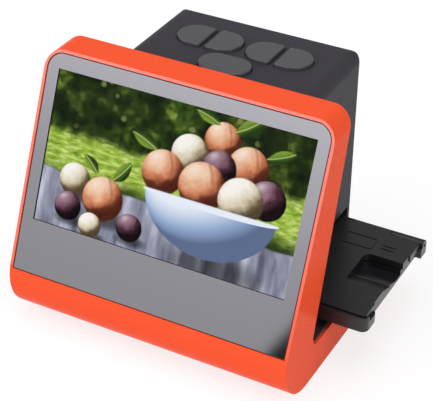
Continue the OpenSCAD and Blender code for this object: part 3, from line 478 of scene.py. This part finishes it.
def bowl(g, under, x, y):
    """A pale blue bowl with a light rim."""
    (cx, cy), wide, tall = BOWL
    dx, dy, far = ellipse(g, x, y, (cx, cy), wide, tall)
    lit = g.times_plus(roundness(g, dx, dy, far), 1.3, 0.12, clamp=True)
    tone = g.ramp(lit, [
        (0.0, srgb(62, 76, 112)), (0.5, srgb(150, 174, 210)), (0.95, srgb(232, 240, 250))])
    body = g.times(g.step(far, 1.01, 0.97), g.step(dy, -0.06, -0.09))
    under = g.mix(body, under, tone)
    rim = ellipse(g, x, y, (cx, cy - 0.025), wide * 1.02, tall * 0.1)
    front = g.times(g.step(rim[2], 1.05, 0.98), g.step(rim[1], 0.3, 0.0))
    return g.mix(front, under, srgb(236, 242, 250))


def garden_picture():
    """A lit picture: a bowl of fruit on a cloth, before a sunny garden."""
    g = Graph("display_picture")
    x, y = panel_coordinates(g)
    spot = g.node("ShaderNodeCombineXYZ", {"X": x, "Y": y}).outputs[0]
    blur = g.noise(9, 4, spot, 0.6)
    seen = cloth(g, garden(g, y, spot), x, y, spot)
    seen = shadow_under(g, seen, x, y, (BOWL[0][0], 0.3), 0.3)
    for centre, radius, kind in FRUIT_IN_BOWL:
        seen = fruit(g, seen, x, y, blur, centre, radius, kind)
    seen = bowl(g, seen, x, y)
    for centre, radius, kind in FRUIT_ON_CLOTH:
        seen = shadow_under(g, seen, x, y, centre, radius)
        seen = fruit(g, seen, x, y, blur, centre, radius, kind)
    for each in LEAVES:
        seen = leaf(g, seen, x, y, *each)
    return g.principled(
        Base_Color=(0.002,) * 3, Roughness=0.5, IOR=1.05, Emission_Color=seen,
        Emission_Strength=1.0,
    )


# ---------- meshes ----------

def exposed(tree, point, directions):
    """Whether light from outside can reach a point along one of the directions."""
    return any(tree.ray_cast(point + d * RAY_START, d)[0] is None for d in directions)


def cut_window(bm):
    """Splits a mesh along the picture's four edges and returns the faces within them."""
    for origin, normal in window_edges:
        bmesh.ops.bisect_plane(
            bm, geom=[*bm.verts, *bm.edges, *bm.faces], plane_co=origin, plane_no=normal)
    return [
        face for face in bm.faces
        if all(
            (face.calc_center_median() - origin).dot(normal) > 0
            for origin, normal in window_edges)
    ]


def softened(node, width, segments=3, weigh=None, change=None):
    """A copy of a CAD node whose outer edges are rounded.
    weigh gives an edge's share of the width, and change edits the mesh first."""
    name = node + "_dressed"
    source = frame["nodes"][node]
    mesh = source.data.copy()
    mesh.name = name
    bm = bmesh.new()
    bm.from_mesh(mesh)
    bmesh.ops.remove_doubles(bm, verts=bm.verts, dist=WELD_DISTANCE)
    bmesh.ops.dissolve_limit(
        bm, angle_limit=FLAT_ANGLE, verts=bm.verts, edges=bm.edges,
        use_dissolve_boundaries=False,
    )
    if change:
        change(bm)
    bm.normal_update()
    tree = BVHTree.FromBMesh(bm)
    weights = bm.edges.layers.float.new("bevel_weight_edge")
    for edge in bm.edges:
        if len(edge.link_faces) != 2:
            continue
        edge.smooth = edge.calc_face_angle(0) < SHARP_ANGLE
        if edge.smooth or not edge.is_convex:
            continue
        middle = (edge.verts[0].co + edge.verts[1].co) / 2
        a, b = (f.normal for f in edge.link_faces)
        if exposed(tree, middle, [(a + b).normalized(), a + b * RAY_LEAN, b + a * RAY_LEAN]):
            edge[weights] = weigh(middle) if weigh else 1
    for face in bm.faces:
        face.smooth = True
    bm.to_mesh(mesh)
    bm.free()
    piece = bpy.data.objects.new(name, mesh)
    bpy.context.scene.collection.objects.link(piece)
    bevel = piece.modifiers.new("edges", "BEVEL")
    bevel.limit_method = "WEIGHT"
    bevel.width = width
    bevel.segments = segments
    bevel.use_clamp_overlap = True
    bevel.miter_outer = "MITER_ARC"
    normals = piece.modifiers.new("normals", "WEIGHTED_NORMAL")
    normals.keep_sharp = True
    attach(piece, source["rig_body"])
    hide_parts(node)
    return piece


def dress(piece, slot, *more_finishes):
    """Gives a piece its slot's material and any others; its faces name them by number."""
    for place, finish in enumerate((materials[slot], *more_finishes)):
        if place < len(piece.data.materials):
            piece.data.materials[place] = finish
        else:
            piece.data.materials.append(finish)


def soften(nodes, width, *more_finishes, **options):
    """Puts rounded copies in place of CAD nodes."""
    for node in nodes:
        dress(softened(node, width, **options), slots[node], *more_finishes)


def stand_weight(point):
    """The thin rim round the glass keeps finer edges than the nose and the stand's rear."""
    up = point.dot(panel_up)
    if abs(point.dot(panel_out) - glass_front) > FRONT_REACH:
        return 1
    inside = (
        abs(point.x) < glass_half + RIM_EDGE_REACH
        and glass_low - RIM_EDGE_REACH < up < glass_high + RIM_EDGE_REACH
    )
    if inside:
        return RIM_EDGE_SHARE
    return min(1, OUTER_EDGE_SHARE + max(0, glass_low - up) / EDGE_GROWTH)


def polished_rim(bm):
    """The rim's flat front, level with the glass, is polished; the rest is satin."""
    for face in bm.faces:
        level = face.calc_center_median().dot(panel_out) > glass_front - RIM_EDGE_REACH
        if level and face.normal.dot(panel_out) > PARALLEL:
            face.material_index = 1


def clear_window(bm):
    """The glass is clear before the picture and printed elsewhere."""
    for face in cut_window(bm):
        face.material_index = 1


def sunk_picture(bm):
    """The display's face lies just behind the glass, its lit picture as faces of their own."""
    front = max(v.co.dot(panel_out) for v in bm.verts)
    for face in cut_window(bm):
        if face.normal.dot(panel_out) > PARALLEL:
            face.material_index = 1
    for vert in bm.verts:
        if front - vert.co.dot(panel_out) < LEVEL_DEPTH:
            vert.co -= panel_out * PICTURE_SINK


# ---------- the object ----------

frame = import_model()

# The screen's frame: its normal, its upward direction and the picture's edges, from the glass
glass = frame["nodes"]["front_glass"].data
panel_out = max(glass.polygons, key=lambda f: f.area).normal.copy()
if panel_out.y > 0:
    panel_out.negate()
panel_up = panel_out.cross(Vector((1, 0, 0)))
glass_low, glass_high = (
    pick(v.co.dot(panel_up) for v in glass.vertices) for pick in (min, max))
glass_front = max(v.co.dot(panel_out) for v in glass.vertices)
glass_half = max(v.co.x for v in glass.vertices)
picture_half = glass_half - BORDER_SIDE
picture_foot = glass_low + BORDER_BOTTOM
picture_head = glass_high - BORDER_TOP
picture_height = picture_head - picture_foot
window_edges = [
    (Vector((-picture_half, 0, 0)), Vector((1, 0, 0))),
    (Vector((picture_half, 0, 0)), Vector((-1, 0, 0))),
    (panel_up * picture_foot, panel_up.copy()),
    (panel_up * picture_head, -panel_up),
]

# Plastics: colour, roughness, size of the grain and its height
materials = {
    "stand_orange": glossy_orange("stand_orange", 0.28, 1.08),
    "housing_black": plastic(
        "housing_black", srgb(60, 58, 64), 0.56, 0.35 * MM, 0.02 * MM, ior=1.27),
    "button_grey": plastic("button_grey", srgb(77, 76, 81), 0.26, 0.3 * MM, 0.01 * MM),
    "tray_black": plastic("tray_black", srgb(31, 31, 34), 0.3, 0.3 * MM, 0.012 * MM),
    "base_black": plastic("base_black", srgb(46, 46, 48), 0.55, 0.4 * MM, 0.02 * MM),
    "tape": plastic("tape", srgb(30, 30, 32), 0.8, 0.6 * MM, 0.03 * MM),
    "display": plastic("display", srgb(150, 154, 160), 0.4, 0.5 * MM, 0.01 * MM),
    "cable_film": plastic("cable_film", srgb(168, 96, 40), 0.35, 0.8 * MM, 0.01 * MM),
    "chip_black": plastic("chip_black", srgb(42, 42, 45), 0.6, 0.3 * MM, 0.01 * MM),
    "reflector_white": plastic(
        "reflector_white", srgb(235, 235, 235), 0.6, 0.4 * MM, 0.01 * MM, drift=0.02),
    "led_yellow": plastic("led_yellow", srgb(232, 222, 140), 0.3, 0.5 * MM, 0.01 * MM),
    "mat_silicone": rubber("mat_silicone", srgb(150, 150, 152), 0.6),
    "foot_rubber": rubber("foot_rubber", srgb(34, 34, 35)),
    "screw_steel": metal("screw_steel", srgb(170, 170, 174), 0.3),
    "bracket_steel": metal("bracket_steel", srgb(188, 188, 190), 0.35, (1, 8, 1)),
    "socket_steel": metal("socket_steel", srgb(200, 200, 202), 0.25, (8, 1, 1)),
    "board_green": circuit_board(),
    "diffuser_opal": diffusing("diffuser_opal", srgb(236, 236, 230)),
    "lens_glass": clear_glass("lens_glass", srgb(225, 238, 248)),
    "front_glass": black_gloss_panel(),
}

slots = {p["node"]: p["material_slot"] for p in frame["record"]["subparts"]}
for node, obj in frame["nodes"].items():
    dress(obj, slots[node])

soften(["frame_shell"], STAND_EDGE, glossy_orange("rim_orange", 0.14, 1.75),
       segments=4, weigh=stand_weight, change=polished_rim)
soften(["front_glass"], GLASS_EDGE, clear_glass("glass_window", srgb(250, 250, 252), 1.07),
       change=clear_window)
soften(["lcd_module"], CASE_EDGE, garden_picture(), change=sunk_picture)
soften(["body_shell", "base_cover", "tray_frame", "tray_cover"], CASE_EDGE)
soften(["button_far_left", "button_mid_left", "button_mid_right", "button_far_right",
        "button_capture"], BUTTON_EDGE)
soften(["usb_port", "video_port", "card_slot"], SOCKET_EDGE)


# ---------- stage, light and camera ----------

scene = bpy.context.scene
scene.view_settings.view_transform = "Standard"


def flat_mesh(name, half_w, half_h):
    """One level face round the origin."""
    mesh = bpy.data.meshes.new(name)
    mesh.from_pydata([
        (-half_w, -half_h, 0), (half_w, -half_h, 0), (half_w, half_h, 0), (-half_w, half_h, 0),
    ], [], [range(4)])
    piece = bpy.data.objects.new(name, mesh)
    scene.collection.objects.link(piece)
    return piece


def pale_floor():
    """White to the camera and in mirrors, with the object's soft shadow kept."""
    g = Graph("pale_floor")
    ray = g.node("ShaderNodeLightPath").outputs
    seen = g.math("MAXIMUM", ray["Is Camera Ray"],
                  g.math("MAXIMUM", ray["Is Glossy Ray"], ray["Is Transmission Ray"]))
    pale, shadowed = (
        g.node("ShaderNodeBsdfDiffuse", {"Color": (tone,) * 3}).outputs[0]
        for tone in (FLOOR_TONE, SEEN_FLOOR_TONE))
    white = g.node("ShaderNodeEmission", {"Strength": SEEN_FLOOR_GLOW}).outputs[0]
    lifted = g.node("ShaderNodeAddShader", {0: shadowed, 1: white}).outputs[0]
    return g.finish(g.node("ShaderNodeMixShader", {0: seen, 1: pale, 2: lifted}).outputs[0])


def toward(azimuth, elevation, distance):
    """A place round the object; azimuth 0 is in front of the screen and grows to the right."""
    a, e = math.radians(azimuth), math.radians(elevation)
    return Vector((
        math.sin(a) * math.cos(e), -math.cos(a) * math.cos(e), math.sin(e))) * distance + AIM


def softbox(name, place, size, power):
    """A square lamp that looks at the object."""
    lamp = bpy.data.lights.new(name, "AREA")
    lamp.shape = "RECTANGLE"
    lamp.size = lamp.size_y = size
    lamp.energy = power
    box = bpy.data.objects.new(name, lamp)
    scene.collection.objects.link(box)
    box.location = place
    box.rotation_euler = (AIM - place).to_track_quat("-Z", "Y").to_euler()


def front_screen():
    """A large lit screen before the glass, dimmer towards its foot and ending on a slant."""
    screen = flat_mesh("front_screen", SCREEN_HALF_W, SCREEN_HALF_H)
    screen.location = toward(*SCREEN_PLACE)
    screen.rotation_euler = (screen.location - AIM).to_track_quat("Z", "Y").to_euler()
    g = Graph("front_screen")
    place = g.node("ShaderNodeSeparateXYZ", {0: g.place()}).outputs
    rise = g.ramp(
        g.math("ADD", place["Y"], SCREEN_HALF_H), [(0.05, 0.56), (0.25, 0.64), (0.5, 1.0)])
    slant = g.minus(g.times(place["X"], SLANT_ACROSS), g.times(place["Y"], SLANT_UP))
    level = g.times(rise, g.step(slant, SCREEN_DARK_FROM, SCREEN_LIT_TO))
    lit = g.node("ShaderNodeEmission", {
        "Color": SCREEN_COLOUR, "Strength": g.times(level, SCREEN_LIGHT)})
    screen.data.materials.append(g.finish(lit.outputs[0]))
    screen.visible_camera = False


floor = flat_mesh("floor", FLOOR_HALF, FLOOR_HALF)
floor.data.materials.append(pale_floor())

world = bpy.data.worlds.new("studio")
scene.world = world
world.use_nodes = True
background = world.node_tree.nodes["Background"].inputs
background["Color"].default_value = (1, 1, 1, 1)
background["Strength"].default_value = WORLD_LIGHT

front_screen()
for name, (azimuth, elevation, size, power) in LAMPS.items():
    softbox(name, toward(azimuth, elevation, LAMP_DISTANCE), size, power)

camera_data = bpy.data.cameras.new("camera")
camera_data.sensor_width = SENSOR_MM
camera_data.lens = FOCAL_PX / PHOTO_WIDTH_PX * SENSOR_MM
camera_data.clip_start = NEAREST_SEEN
camera = bpy.data.objects.new("camera", camera_data)
scene.collection.objects.link(camera)
scene.camera = camera
forward = Vector((
    -math.sin(CAMERA_AZIMUTH) * math.cos(CAMERA_ELEVATION),
    math.cos(CAMERA_AZIMUTH) * math.cos(CAMERA_ELEVATION), -math.sin(CAMERA_ELEVATION)))
level_right = Vector((math.cos(CAMERA_AZIMUTH), math.sin(CAMERA_AZIMUTH), 0))
level_up = level_right.cross(forward)
right = level_right * math.cos(CAMERA_ROLL) + level_up * math.sin(CAMERA_ROLL)
up = level_up * math.cos(CAMERA_ROLL) - level_right * math.sin(CAMERA_ROLL)
camera.matrix_world = Matrix.Translation(CAMERA_PLACE) @ Matrix(
    (right, up, -forward)).transposed().to_4x4()
